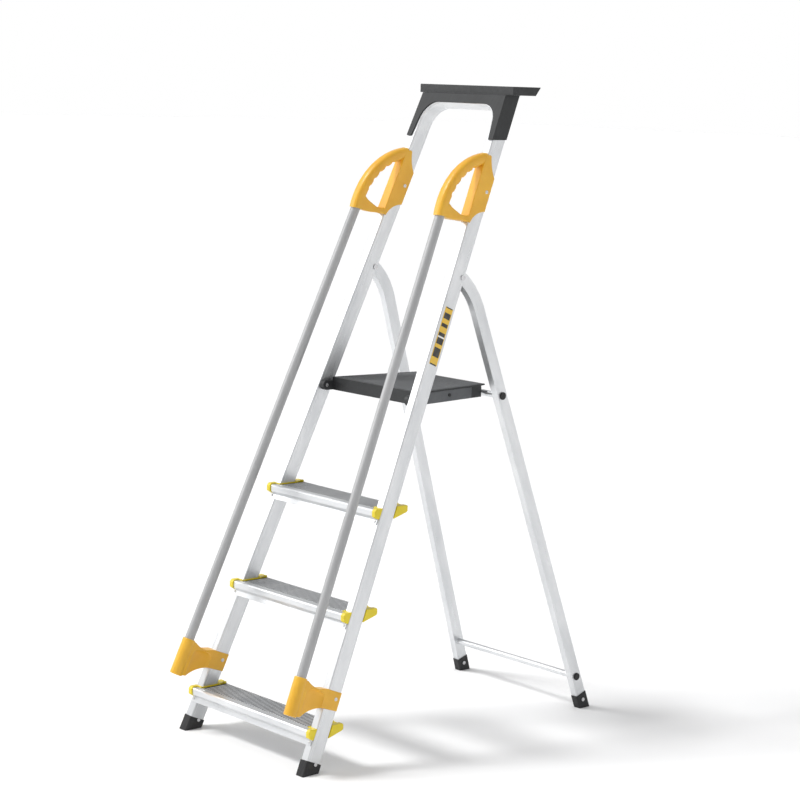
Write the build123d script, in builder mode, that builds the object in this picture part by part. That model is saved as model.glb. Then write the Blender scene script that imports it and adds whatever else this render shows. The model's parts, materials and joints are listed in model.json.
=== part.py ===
from build123d import *
from math import cos, radians, sin, tan
import os

# Platform step ladder: a front frame of two splayed stiles with three treads, two handrails
# and a tool tray, a folding rear frame, and a platform that hooks over the rear frame.
# Millimetres. X runs across the ladder, Y from front to back, Z up, with the floor at Z = 0.

# ---- driving dimensions ----
lean = 23.0                 # stiles lean back from the vertical, degrees
splay = 3.06                # each stile leans in towards the middle, degrees
foot_half_width = 224.0     # middle plane to the outer face of a stile at the floor
front_line_y = -440.2       # where the stiles' front line meets the floor

stile_width = 22.0
stile_depth = 40.0
stile_wall = 1.5
stile_start = 24.0          # distances along a stile are measured from the floor line
stile_end = 1518.0
bow_rise = 1612.0           # outer face of the bow that joins the stiles

pivot_rise = 1177.0         # rear frame pivot, along the stile
pivot_depth = 33.8          # and back from the stile's front face
pivot_shaft = 8.0
head_diameter = 13.0
running_gap = 0.05

leg_lean = 19.7             # rear legs lean the other way, degrees from the vertical
leg_splay = 3.3
leg_depth = 30.0
leg_width = 17.6
leg_wall = 1.5
leg_bend_radius = 170.0
leg_bend = 33.0
lower_bar_height = 81.7
upper_bar_height = 789.8
bar_radius = 7.5

tread_tops = {"lower": 98.0, "middle": 342.0, "upper": 564.0}
tread_nose = 20.0           # how far the nose stands in front of the stiles' front line
tread_back = 68.0           # how far the deck reaches behind that line
tread_skin = 2.0

platform_top = 812.0
platform_height = 30.0
platform_front = 374.0      # deck's front and rear edges, Y behind the stiles' foot line
platform_rear = 617.0
platform_front_half = 150.0
platform_rear_half = 120.0

rail_depth = -80.0          # handrail axis in front of the stile's front face
rail_radius = 11.0
rail_start = 126.0
rail_end = 1300.0

tray_top = 1505.7
tray_half = 158.0
tray_depth = 91.0
tray_thickness = 20.0

# ---- places worked out from the dimensions ----
base = Location((0, front_line_y, 0))
frame = base * Location((0, 0, 0), (-lean, 0, 0))
stile_centre = foot_half_width - stile_width / 2
stile = frame * Location((stile_centre, 0, 0), (0, -splay, 0))
up_stile = Axis(Plane(stile).origin, Plane(stile).z_dir)
taper = tan(radians(splay))


def line_y(height):
    """Y of the stiles' front line at a height above the floor."""
    return height * tan(radians(lean))


def stile_half(rise):
    """Middle plane to the outer face of a stile at a distance up the slope."""
    return foot_half_width - taper * rise


def world_yz(depth, rise):
    """Y and Z, from the foot line, of a point in the frame's own side view."""
    angle = radians(lean)
    return rise * sin(angle) + depth * cos(angle), rise * cos(angle) - depth * sin(angle)


def put(place, plane):
    """A plane moved to a place."""
    return Plane(place * plane.location)


def save(part, name):
    part.label = name
    export_step(part, f"parts/{name}.step")


def save_pair(part, name):
    """The right-hand piece and its mirror image on the left."""
    save(part, f"right_{name}")
    save(mirror(part, about=Plane.YZ), f"left_{name}")


os.makedirs("parts", exist_ok=True)


# ---- stiles, bow and front feet ----
def half_at(height, behind=0.0):
    """Outer half width of the stiles at a height, at a distance behind their front line."""
    rise = (line_y(height) + behind) * sin(radians(lean)) + height * cos(radians(lean))
    return stile_half(rise)


rivet_drop = 28.0           # tread rivets below the top of the deck
lip = 2.2                   # thickness of the tread's riveted lip
rivet_radius = 2.4


def rivet_seat(height, hand=1):
    """Where a tread rivet crosses the stile's front face, axis along the depth."""
    rise = (height - rivet_drop) / cos(radians(lean))
    return frame * Location((hand * (stile_half(rise) - stile_width / 2), 0, rise), (90, 0, 0))


pivot_x = stile_half(pivot_rise) - stile_width / 2
pivot_y, pivot_z = world_yz(pivot_depth, pivot_rise)
pivot = base * Location((pivot_x, pivot_y, pivot_z), (0, 90, 0))

pin_depth = 13.0            # platform pin behind the stile's front face
pin_height = 795.0
pin_radius = 4.0
pin_rise = (pin_height + pin_depth * sin(radians(lean))) / cos(radians(lean))
pin_y = world_yz(pin_depth, pin_rise)[0]
pin_x = stile_half(pin_rise) - stile_width / 2
pin = base * Location((pin_x, pin_y, pin_height), (0, 90, 0))
left_pin = base * Location((-pin_x, pin_y, pin_height), (0, 90, 0))

screw_radius = 2.5
handle_screw = (27.0, 1386.0)
clamp_screw = (26.0, 182.0)
foot_screw = (24.0, 33.0)

with BuildPart() as stile_tube:
    with BuildSketch(put(stile, Plane.XY.offset(stile_start))):
        with Locations((0, stile_depth / 2)):
            RectangleRounded(stile_width, stile_depth, 2.5)
            RectangleRounded(
                stile_width - 2 * stile_wall, stile_depth - 2 * stile_wall, 1.0, mode=Mode.SUBTRACT
            )
    extrude(amount=stile_end - stile_start)
    # the back wall is cut away where the rear leg swings in
    with Locations(stile * Location((0, stile_depth, pivot_rise - 32))):
        Box(stile_width - 2 * stile_wall, 8, 120, mode=Mode.SUBTRACT)
    with Locations(pivot):
        Cylinder(pivot_shaft / 2, 30, mode=Mode.SUBTRACT)
    with Locations(pin):
        Cylinder(pin_radius, 30, mode=Mode.SUBTRACT)
    with Locations([rivet_seat(height) for height in tread_tops.values()]):
        Cylinder(rivet_radius, 12, mode=Mode.SUBTRACT)
    with Locations([
        stile * Location((0, depth, rise), (0, 90, 0))
        for depth, rise in (handle_screw, clamp_screw, foot_screw)
    ]):
        Cylinder(screw_radius, 30, mode=Mode.SUBTRACT)
save_pair(stile_tube.part, "stile")

bow_radius = 60.0
bow_middle = bow_rise - stile_width / 2
bow_end = stile_centre - taper * stile_end
bow_corner = stile_centre - taper * bow_middle

with BuildPart() as top_bow:
    with BuildLine(put(frame, Plane.XZ.offset(-stile_depth / 2))) as bow_path:
        FilletPolyline(
            (bow_end, stile_end),
            (bow_corner, bow_middle),
            (-bow_corner, bow_middle),
            (-bow_end, stile_end),
            radius=bow_radius,
        )
    bow_start = Plane(bow_path.line @ 0, x_dir=Plane(frame).y_dir, z_dir=bow_path.line % 0)
    with BuildSketch(bow_start):
        RectangleRounded(stile_depth, stile_width, 2.5)
        RectangleRounded(
            stile_depth - 2 * stile_wall, stile_width - 2 * stile_wall, 1.0, mode=Mode.SUBTRACT
        )
    sweep(path=bow_path.line)
save(top_bow.part, "top_bow")

boot_wall = 2.0
boot_top = 36.0             # along the stile

with BuildPart() as front_foot:
    with BuildSketch(put(stile, Plane.XY.offset(-12))):
        with Locations((0, stile_depth / 2)):
            RectangleRounded(stile_width + 2 * boot_wall, stile_depth + 2 * boot_wall, 3.5)
    extrude(amount=boot_top + 12)
    fillet(front_foot.faces().sort_by(up_stile)[-1].edges(), 1.0)
    split(bisect_by=Plane.XY, keep=Keep.TOP)
    with BuildSketch(put(stile, Plane.XY.offset(stile_start))):
        with Locations((0, stile_depth / 2)):
            RectangleRounded(stile_width, stile_depth, 2.5)
    extrude(amount=boot_top, mode=Mode.SUBTRACT)
    with Locations(stile * Location((0, *foot_screw), (0, 90, 0))):
        Cylinder(screw_radius, 40, mode=Mode.SUBTRACT)
save_pair(front_foot.part, "front_foot")


# ---- treads with their end caps and rivets ----
back_line = stile_depth / cos(radians(lean))


def along(height, offset):
    """A point of the tread's outline on a line parallel to the stiles."""
    return (line_y(height) + offset, height)


lip_offset = -lip / cos(radians(lean))
nose_outline = [
    (-tread_nose, -3), (3 - tread_nose, 0), along(0, 0), along(-34, 0),
    along(-34, lip_offset), along(-23, lip_offset), (-tread_nose, -15),
]
nose_hollow = [(2 - tread_nose, -3.5), (3.5 - tread_nose, -2), along(-2, -2.6), along(-16.5, -2.8),
               (2 - tread_nose, -14)]
rear_outline = [
    along(0, back_line), (tread_back, 0), (tread_back, -12), along(-23, back_line - lip_offset),
    along(-36, back_line - lip_offset), along(-36, back_line),
]
rear_hollow = [along(-2, back_line + 2.6), (tread_back - 2, -2), (tread_back - 2, -10.5),
               along(-18, back_line + 3.2)]
cap_edge = 2.5              # rim of the end caps over the tread
cap_reach = 11.0            # how far the caps slide over the nose and the rear edge
knob_outline = [
    (-tread_nose - cap_edge, -3), (2 - tread_nose, cap_edge), along(cap_edge, -0.2),
    along(-21, -0.2), along(-22, lip_offset - 1), (-tread_nose - cap_edge, -16),
]
fin_outline = [
    along(cap_edge, back_line + 0.2), (tread_back + 5, cap_edge), (tread_back + 8, -1),
    (tread_back + 8, -11), (tread_back + 5, -14), along(-25, back_line - lip_offset),
    along(-25, back_line + 0.2),
]


def tread_place(height):
    """A tread's own frame: the stiles' front line at the height of its deck."""
    return base * Location((0, line_y(height), height))


def make_tread(height, name):
    """A nose in front of both stiles, a deck between them and a box behind them."""
    side = put(tread_place(height), Plane.YZ)
    full_half = half_at(height) - 3
    deck_half = half_at(height, tread_back) - stile_width - 3.6
    with BuildPart() as tread:
        with BuildSketch(side):
            with BuildLine():
                Polyline(*nose_outline, close=True)
            make_face()
            with BuildLine():
                Polyline(*nose_hollow, close=True)
            make_face(mode=Mode.SUBTRACT)
            with BuildLine():
                Polyline(*rear_outline, close=True)
            make_face()
            with BuildLine():
                Polyline(*rear_hollow, close=True)
            make_face(mode=Mode.SUBTRACT)
        extrude(amount=full_half, both=True)
        with BuildSketch(side):
            with Locations((back_line / 2, -tread_skin / 2)):
                Rectangle(back_line + 4, tread_skin)
            with Locations((9, -6), (21, -6), (33, -6)):
                Rectangle(2, 8)
        extrude(amount=deck_half, both=True)
        with Locations(rivet_seat(height), rivet_seat(height, -1)):
            Cylinder(rivet_radius, 12, mode=Mode.SUBTRACT)
    save(tread.part, f"{name}_tread")


def make_end_cap(height, name):
    """A plastic cap: a knob on the nose, a strip beside the stile and a fin behind it."""
    place = tread_place(height)
    outer = half_at(height)
    strip_outer = half_at(height, tread_back) - stile_width - 0.4
    strip_inner = strip_outer - 3
    with BuildPart() as cap:
        with BuildSketch(put(place, Plane.YZ.offset(outer - cap_reach))):
            with BuildLine():
                Polyline(*knob_outline, close=True)
            make_face()
            with BuildLine():
                Polyline(*fin_outline, close=True)
            make_face()
        extrude(amount=cap_reach + 1)
        with BuildSketch(put(place, Plane.YZ.offset(outer - cap_reach))):
            with BuildLine():
                Polyline(*nose_outline, close=True)
            make_face()
            with BuildLine():
                Polyline(*rear_outline, close=True)
            make_face()
        extrude(amount=cap_reach - 3, mode=Mode.SUBTRACT)
        with BuildSketch(put(place, Plane.XY)):
            with BuildLine():
                Polyline(
                    (outer - cap_reach, -5), (strip_inner, -5), (strip_inner, tread_back),
                    (outer - cap_reach, tread_back), (outer - cap_reach, back_line + 6),
                    (strip_outer, back_line + 6), (strip_outer, -0.5), (outer - cap_reach, -0.5),
                    close=True,
                )
            make_face()
        extrude(amount=cap_edge)
        with BuildSketch(put(place, Plane.XY.offset(cap_edge))):
            with Locations(((strip_inner + strip_outer) / 2 + 1, tread_back - 4)):
                RectangleRounded(7, 7, 2)
        extrude(amount=2.5)
    save_pair(cap.part, f"{name}_end_cap")


for tread_name, tread_top in tread_tops.items():
    make_tread(tread_top, tread_name)
    make_end_cap(tread_top, tread_name)

rivet_head = 3.6
with BuildPart() as tread_rivets:
    for tread_top in tread_tops.values():
        for hand in (1, -1):
            seat = rivet_seat(tread_top, hand)
            with Locations(seat * Location((0, 0, lip / 2 - 1))):
                Cylinder(rivet_radius, lip + 2)
            with Locations(seat * Location((0, 0, lip + 0.8))):
                Cylinder(rivet_head, 1.6)
save(tread_rivets.part, "tread_rivets")


# ---- handrails, handles and clamps ----
with BuildPart() as handrail:
    with BuildSketch(put(stile, Plane.XY.offset(rail_start))):
        with Locations((0, rail_depth)):
            Circle(rail_radius)
            Circle(rail_radius - stile_wall, mode=Mode.SUBTRACT)
    extrude(amount=rail_end - rail_start)
save_pair(handrail.part, "handrail")

grip_width = 27.0
grip_foot = (rail_depth, 1284)
grip_middle = (-58, 1402)
grip_top = (-2, 1457)
finger_count = 5
plate = 2.5                 # side plates on both sides of the stile
saddle_half = stile_width / 2 + plate

with BuildPart() as handle:
    with BuildSketch(put(stile, Plane.YZ)):
        with BuildLine() as grip_line:
            ThreePointArc(grip_foot, grip_middle, grip_top)
        trace(line_width=grip_width)
        # finger grooves along the inside of the grip
        for finger in range(finger_count):
            share = 0.3 + 0.12 * finger
            inward = (grip_line.line % share).rotate(Axis.Z, -90)
            with Locations(grip_line.line @ share + inward * (grip_width / 2 + 7)):
                Circle(10, mode=Mode.SUBTRACT)
        # bridge from the grip to the saddle over the stile
        with BuildLine():
            Polyline((grip_top[0], 1469), (-6, 1466), (-6, 1318), (-30, 1309), (-60, 1316),
                     (rail_depth - 13, 1310), (rail_depth - 13, 1284), (-55, 1287), (-25, 1296),
                     (4, 1302))
            ThreePointArc((4, 1302), (16, 1326), (39.5, 1342))
            Line((39.5, 1342), (39.5, 1424))
            ThreePointArc((39.5, 1424), (21, 1446), (11, 1469))
            Line((11, 1469), (grip_top[0], 1469))
        make_face()
    extrude(amount=saddle_half, both=True)
    with BuildSketch(put(stile, Plane.XY.offset(1280))):
        with Locations((0, 30)):
            Rectangle(stile_width, 60)
    extrude(amount=200, mode=Mode.SUBTRACT)
    with BuildSketch(put(stile, Plane.XY.offset(1270))):
        with Locations((0, rail_depth)):
            Circle(rail_radius)
    extrude(amount=rail_end - 1270, mode=Mode.SUBTRACT)
    with Locations(stile * Location((0, *handle_screw), (0, 90, 0))):
        Cylinder(screw_radius, 40, mode=Mode.SUBTRACT)
save_pair(handle.part, "handle")

sleeve_radius = 15.0
sleeve_start = 117.0
sleeve_end = 204.0

with BuildPart() as clamp:
    with BuildSketch(put(stile, Plane.XY.offset(sleeve_start))):
        with Locations((0, rail_depth)):
            Circle(sleeve_radius)
    extrude(amount=sleeve_end - sleeve_start)
    with BuildSketch(put(stile, Plane.YZ)):
        with BuildLine():
            Line((rail_depth, 200), (-66, 201))
            ThreePointArc((-66, 201), (-48, 194), (-30, 192))
            Polyline((-30, 192), (-8, 198), (39.5, 199), (39.5, 157), (-8, 154))
            ThreePointArc((-8, 154), (-34, 141), (-58, 121))
            Line((-58, 121), (rail_depth, 119))
            Line((rail_depth, 119), (rail_depth, 200))
        make_face()
    extrude(amount=saddle_half, both=True)
    with BuildSketch(put(stile, Plane.XY.offset(sleeve_start))):
        with Locations((0, 30)):
            Rectangle(stile_width, 60)
    extrude(amount=120, mode=Mode.SUBTRACT)
    with BuildSketch(put(stile, Plane.XY.offset(rail_start))):
        with Locations((0, rail_depth)):
            Circle(rail_radius)
    extrude(amount=120, mode=Mode.SUBTRACT)
    with Locations(stile * Location((0, *clamp_screw), (0, 90, 0))):
        Cylinder(screw_radius, 40, mode=Mode.SUBTRACT)
save_pair(clamp.part, "clamp")


def make_cross_screws(spot, half_length, name):
    """A screw with a head on each side, through a stile and what is fixed to it."""
    with BuildPart() as cross_screw:
        with Locations(stile * Location((0, *spot), (0, 90, 0))):
            Cylinder(screw_radius, 2 * half_length)
        with Locations([
            stile * Location((hand * (half_length + 0.75), *spot), (0, 90, 0)) for hand in (1, -1)
        ]):
            Cylinder(screw_radius + 2, 1.5)
    save(Compound([cross_screw.part, mirror(cross_screw.part, about=Plane.YZ)]), name)


make_cross_screws(handle_screw, saddle_half, "handle_screws")
make_cross_screws(clamp_screw, saddle_half, "clamp_screws")
make_cross_screws(foot_screw, stile_width / 2 + boot_wall, "front_foot_rivets")


# ---- tool tray ----
tray_front_y = 634.9
skirt_start = 1480.0
skirt_bottom = 1382.8       # the skirts end level, at this height above the floor
skirt_wall = 3.0
tray_underside = tray_top - tray_thickness
arch_top = bow_rise - stile_width
skirt_top = 1640.0
rim = 4.0
recess = 4.0


def outline(start, end, clearance):
    """Front view of the stiles' outer edges between two rises, with a clearance outside."""
    low = stile_half(start) + clearance
    high = stile_half(end) + clearance
    return [(-low, start), (low, start), (high, end), (-high, end)]


with BuildPart() as tool_tray:
    with BuildSketch(put(frame, Plane.XZ.offset(skirt_wall))):
        Polygon(*outline(skirt_start, skirt_top, skirt_wall), align=None)
    extrude(amount=-(stile_depth + skirt_wall + 1))
    with BuildSketch(put(frame, Plane.XZ)):
        Polygon(*outline(skirt_start - 1, bow_rise + 0.3, 0.3), align=None)
    extrude(amount=-(stile_depth + 2), mode=Mode.SUBTRACT)
    with BuildSketch(put(frame, Plane.XZ.offset(skirt_wall + 1))):
        Polygon((-134, skirt_start - 5), (-118, arch_top), (118, arch_top),
                (134, skirt_start - 5), align=None)
        fillet(vertices().group_by(Axis.Y)[-1], 48)
    extrude(amount=-(skirt_wall + 2), mode=Mode.SUBTRACT)
    split(bisect_by=Plane.XY.offset(tray_underside), keep=Keep.BOTTOM)
    split(bisect_by=Plane.XY.offset(skirt_bottom), keep=Keep.TOP)
    with BuildSketch(put(base, Plane.YZ)):
        Polygon(
            (tray_front_y, tray_underside), (tray_front_y + tray_depth - 16, tray_underside),
            (tray_front_y + tray_depth, tray_top), (tray_front_y, tray_top), align=None,
        )
    extrude(amount=tray_half, both=True)
    with BuildSketch(put(base, Plane.XY.offset(tray_top - recess))):
        with Locations((0, tray_front_y + tray_depth / 2 - 2)):
            Rectangle(2 * (tray_half - rim), tray_depth - 2 * rim - 4)
    extrude(amount=recess, mode=Mode.SUBTRACT)
save(tool_tray.part, "tool_tray")


# ---- hinge pins of the rear frame and the platform ----
with BuildPart() as pivot_rivet:
    with Locations(pivot):
        Cylinder(pivot_shaft / 2, stile_width)
    with Locations([pivot * Location((0, 0, hand * (stile_width / 2 + 1.4))) for hand in (1, -1)]):
        Cylinder(head_diameter / 2, 2)
    with Locations([pivot * Location((0, 0, hand * stile_width / 2)) for hand in (1, -1)]):
        Cylinder(pivot_shaft / 2, 2)
save(Compound([pivot_rivet.part, mirror(pivot_rivet.part, about=Plane.YZ)]), "pivot_rivets")

ear_gap = 2.4
ear_width = 12.0
pin_reach = stile_width / 2 + ear_gap + ear_width   # inner end of the pin from the stile's middle
pin_recess = 0.8            # outer end of the pin inside the stile's outer face

with BuildPart() as platform_pin:
    with Locations(pin * Location((0, 0, (stile_width / 2 - pin_recess - pin_reach) / 2))):
        Cylinder(pin_radius, pin_reach + stile_width / 2 - pin_recess)
save(Compound([platform_pin.part, mirror(platform_pin.part, about=Plane.YZ)]), "platform_pins")


# ---- rear frame ----
leg = base * Location((pivot_x, pivot_y, pivot_z), (0, -leg_splay, 0))
leg_along = Vector(sin(radians(leg_lean)), -cos(radians(leg_lean)))
leg_back = Vector(cos(radians(leg_lean)), sin(radians(leg_lean)))
leg_start_way = leg_along * cos(radians(leg_bend)) + leg_back * sin(radians(leg_bend))
bend_end = (
    leg_along * leg_bend_radius * sin(radians(leg_bend))
    + leg_back * leg_bend_radius * (1 - cos(radians(leg_bend)))
)
floor_reach = -pivot_z / cos(radians(leg_splay))
leg_foot = bend_end + leg_along * ((floor_reach - bend_end.Y) / leg_along.Y)
leg_lift = 13.0             # the tube stops short of the floor inside its boot
leg_end = leg_foot - leg_along * leg_lift


def leg_centre(height):
    """X, Y and Z of a rear leg's centre line at a height on its straight part."""
    up = height / cos(radians(leg_splay))
    point = leg_foot - leg_along * (up / cos(radians(leg_lean)))
    x = pivot_x + tan(radians(leg_splay)) * (pivot_z - height)
    return x, pivot_y + point.X, height


lower_leg = leg * Location((0, leg_foot.X, leg_foot.Y), (leg_lean, 0, 0))
bush_radius = 5.5

with BuildPart() as rear_leg:
    # the tube's outside, then its hollow, with the bent top rounded around the pivot
    for wall, fill in ((0, Mode.ADD), (leg_wall, Mode.SUBTRACT)):
        with BuildSketch(put(leg, Plane.YZ)):
            with BuildLine():
                JernArc((0, 0), (leg_start_way.X, leg_start_way.Y), leg_bend_radius, -leg_bend)
                Line((bend_end.X, bend_end.Y), (leg_end.X, leg_end.Y))
            trace(line_width=leg_depth - 2 * wall)
            Circle(leg_depth / 2 - wall)
        extrude(amount=leg_width / 2 - wall, both=True, mode=fill)
    with Locations(lower_leg):
        Box(60, 60, 2 * leg_lift, mode=Mode.SUBTRACT)
    with Locations(pivot):
        Cylinder(bush_radius, 30, mode=Mode.SUBTRACT)
    with Locations([
        base * Location(leg_centre(height), (0, 90, 0)) for height in (lower_bar_height, upper_bar_height)
    ]):
        Cylinder(bar_radius, 40, mode=Mode.SUBTRACT)
    with Locations(lower_leg * Location((0, 0, 22), (0, 90, 0))):
        Cylinder(screw_radius, 40, mode=Mode.SUBTRACT)
save_pair(rear_leg.part, "rear_leg")

with BuildPart() as pivot_bush:
    with Locations(pivot):
        Cylinder(bush_radius, leg_width + 0.4)
        Cylinder(pivot_shaft / 2 + running_gap, 30, mode=Mode.SUBTRACT)
save(Compound([pivot_bush.part, mirror(pivot_bush.part, about=Plane.YZ)]), "pivot_bushes")

with BuildPart() as rear_foot:
    with BuildSketch(put(lower_leg, Plane.XY.offset(-14))):
        RectangleRounded(leg_width + 2 * boot_wall, leg_depth + 2 * boot_wall, 3.5)
    extrude(amount=14 + 38)
    split(bisect_by=Plane.XY, keep=Keep.TOP)
    with BuildSketch(put(lower_leg, Plane.XY.offset(leg_lift))):
        Rectangle(leg_width, leg_depth)
    extrude(amount=60, mode=Mode.SUBTRACT)
    with Locations(lower_leg * Location((0, 0, 22), (0, 90, 0))):
        Cylinder(screw_radius, 40, mode=Mode.SUBTRACT)
save_pair(rear_foot.part, "rear_foot")

with BuildPart() as rear_foot_rivet:
    with Locations(lower_leg * Location((0, 0, 22), (0, 90, 0))):
        Cylinder(screw_radius, leg_width + 2 * boot_wall)
    with Locations([
        lower_leg * Location((hand * (leg_width / 2 + boot_wall + 0.75), 0, 22), (0, 90, 0))
        for hand in (1, -1)
    ]):
        Cylinder(screw_radius + 2, 1.5)
save(Compound([rear_foot_rivet.part, mirror(rear_foot_rivet.part, about=Plane.YZ)]), "rear_foot_rivets")

cap_lip = 0.6               # clears the tilt of the leg's outer face


def make_bar(height, name):
    """A round bar through both legs, with a plastic plug in each end."""
    x, y, z = leg_centre(height)
    reach = x + leg_width / 2 + cap_lip
    with BuildPart() as bar:
        with Locations(base * Location((0, y, z), (0, 90, 0))):
            Cylinder(bar_radius, 2 * reach)
            Cylinder(bar_radius - 1.5, 2 * reach, mode=Mode.SUBTRACT)
    save(bar.part, f"{name}_crossbar")
    with BuildPart() as plug:
        with Locations(base * Location((reach - 6, y, z), (0, 90, 0))):
            Cylinder(bar_radius - 1.5, 12)
        with Locations(base * Location((reach + 1.5, y, z), (0, 90, 0))):
            Cylinder(bar_radius + 1.5, 3)
        fillet(plug.faces().sort_by(Axis.X)[-1].edges(), 1.2)
    save(Compound([plug.part, mirror(plug.part, about=Plane.YZ)]), f"{name}_crossbar_plugs")


make_bar(lower_bar_height, "lower")
make_bar(upper_bar_height, "upper")


# ---- platform ----
deck_skin = 3.0
deck_under = platform_top - platform_height
side_rear = 606.0           # side walls stop in front of the upper crossbar
ear_outer = pin_x - stile_width / 2 - ear_gap
slot_pitch = 9.0


def platform_half(y):
    """Half width of the deck, which narrows to the rear."""
    share = (y - platform_front) / (platform_rear - platform_front)
    return platform_front_half + (platform_rear_half - platform_front_half) * share


plate_front = platform_front + 4.3
plate_rear = 567.0          # the side plates stop short of the deck's rear corners
plate_screw_y = 486.0
plate_screw_x = platform_half(plate_screw_y)
plate_screw = base * Location((plate_screw_x, plate_screw_y, 797), (0, 90, 0))
left_plate_screw = base * Location((-plate_screw_x, plate_screw_y, 797), (0, 90, 0))


def deck_outline(front, rear, inset):
    return [
        (-platform_half(front) + inset, front), (platform_half(front) - inset, front),
        (platform_half(rear) - inset, rear), (-platform_half(rear) + inset, rear),
    ]


with BuildPart() as platform_deck:
    with BuildSketch(put(base, Plane.XY.offset(platform_top))):
        Polygon(*deck_outline(platform_front, platform_rear, 0), align=None)
    extrude(amount=-deck_skin)
    fillet(platform_deck.edges().filter_by(Axis.Z), 2)
    with BuildSketch(put(base, Plane.XY.offset(platform_top - 0.5))):
        Polygon(*deck_outline(platform_front, platform_front + deck_skin, 1.2), align=None)
    extrude(amount=0.5 - platform_height)
    for hand in (1, -1):
        with BuildSketch(put(base, Plane.XY.offset(platform_top - 0.5))):
            Polygon(
                (hand * (platform_half(platform_front) - 2.4), platform_front + 0.5),
                (hand * (platform_half(side_rear) - 2.4), side_rear),
                (hand * (platform_half(side_rear) - 5.4), side_rear),
                (hand * (platform_half(platform_front) - 5.4), platform_front + 0.5), align=None,
            )
        extrude(amount=0.5 - platform_height)
        # ears that carry the deck on the pins
        with BuildSketch(put(base, Plane.YZ.offset(hand * (ear_outer - ear_width)))):
            with Locations((pin_y, pin_height)):
                Circle(12)
            with Locations(((pin_y + platform_front + 4) / 2, pin_height - 1)):
                Rectangle(platform_front + 4 - pin_y, 22)
        extrude(amount=hand * ear_width)
    with Locations(pin, left_pin):
        Cylinder(pin_radius + running_gap, 60, mode=Mode.SUBTRACT)
    with Locations(plate_screw, left_plate_screw):
        Cylinder(screw_radius, 20, mode=Mode.SUBTRACT)
    for row in range(5):
        with BuildSketch(put(base, Plane.XY.offset(platform_top - 0.5))):
            with Locations((0, 400 + 44 * row)):
                Rectangle(2 * platform_half(400 + 44 * row) - 12, 3)
        extrude(amount=-12)
save(platform_deck.part, "platform_deck")

with BuildPart() as side_plate:
    with BuildSketch(put(base, Plane.XY.offset(platform_top - 4))):
        Polygon(
            (platform_half(plate_front) - 2.2, plate_front),
            (platform_half(plate_rear) - 2.2, plate_rear),
            (platform_half(plate_rear), plate_rear),
            (platform_half(plate_front), plate_front), align=None,
        )
    extrude(amount=5 - platform_height)
    with Locations(plate_screw):
        Cylinder(screw_radius, 20, mode=Mode.SUBTRACT)
save_pair(side_plate.part, "side_plate")

with BuildPart() as plate_screws:
    with Locations(plate_screw * Location((0, 0, -1.5))):
        Cylinder(screw_radius, 5)
    with Locations(plate_screw * Location((0, 0, 1.3))):
        Cylinder(screw_radius + 1.5, 1.4)
save(Compound([plate_screws.part, mirror(plate_screws.part, about=Plane.YZ)]), "side_plate_screws")

# saddles under the rear edge, open to the floor and to the front, that rest on the crossbar
hook_gap = 0.3
hook_wall = 5.0
hook_width = 34.0
hook_middle = 75.0
bar_y, bar_z = leg_centre(upper_bar_height)[1:]
saddle_radius = bar_radius + hook_gap
saddle_top = platform_top - deck_skin

with BuildPart() as bar_hook:
    with BuildSketch(put(base, Plane.YZ.offset(hook_middle - hook_width / 2))):
        with BuildLine():
            Polyline(
                (platform_rear - 22, saddle_top), (bar_y - 9, bar_z + 5), (bar_y, bar_z + 5),
                (bar_y, bar_z - 9), (bar_y + saddle_radius, bar_z - 9),
                (bar_y + saddle_radius + hook_wall, bar_z - 5),
                (bar_y + saddle_radius + hook_wall, bar_z + 6), (platform_rear, saddle_top),
                close=True,
            )
        make_face()
    extrude(amount=hook_width)
    with BuildSketch(put(base, Plane.YZ.offset(hook_middle - hook_width / 2))):
        with Locations((bar_y, bar_z)):
            Circle(saddle_radius)
        Polygon(
            (bar_y - 30, bar_z - 30), (bar_y - 30, bar_z), (bar_y - saddle_radius, bar_z),
            (bar_y + saddle_radius, bar_z), (bar_y + saddle_radius, bar_z - 30), align=None,
        )
    extrude(amount=hook_width, mode=Mode.SUBTRACT)
save_pair(bar_hook.part, "bar_hook")


# ---- generic striped label on the right stile ----
label_start = 962.0
label_length = 138.0
label_width = 24.0
label_thickness = 0.4
with BuildPart() as stile_label:
    with BuildSketch(put(stile, Plane.YZ.offset(stile_width / 2))):
        with Locations((stile_depth / 2 + 1, label_start + label_length / 2)):
            RectangleRounded(label_width, label_length, 2)
    extrude(amount=label_thickness)
save(stile_label.part, "stile_label")
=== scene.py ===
"""Looks of the folding platform step ladder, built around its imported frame. Metres throughout."""
import json
from math import acos, atan2, copysign, cos, pi, radians, sin, sqrt, tan

import bmesh
import bpy
from mathutils import Matrix, Vector


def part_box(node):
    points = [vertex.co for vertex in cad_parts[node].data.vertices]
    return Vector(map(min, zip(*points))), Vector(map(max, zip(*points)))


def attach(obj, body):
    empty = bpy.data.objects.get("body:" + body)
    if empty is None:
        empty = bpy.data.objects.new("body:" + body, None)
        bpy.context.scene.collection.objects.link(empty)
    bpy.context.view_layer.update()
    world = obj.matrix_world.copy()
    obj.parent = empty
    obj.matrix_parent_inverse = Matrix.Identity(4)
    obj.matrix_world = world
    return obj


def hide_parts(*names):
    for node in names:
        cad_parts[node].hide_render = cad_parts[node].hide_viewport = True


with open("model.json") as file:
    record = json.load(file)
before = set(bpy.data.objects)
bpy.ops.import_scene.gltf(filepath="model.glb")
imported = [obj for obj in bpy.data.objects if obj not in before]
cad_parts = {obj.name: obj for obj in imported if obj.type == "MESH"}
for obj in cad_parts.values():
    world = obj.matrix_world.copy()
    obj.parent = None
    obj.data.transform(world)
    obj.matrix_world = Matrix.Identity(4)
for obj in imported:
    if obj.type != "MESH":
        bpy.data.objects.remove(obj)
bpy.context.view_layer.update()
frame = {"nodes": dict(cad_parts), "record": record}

MM = 0.001

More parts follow.
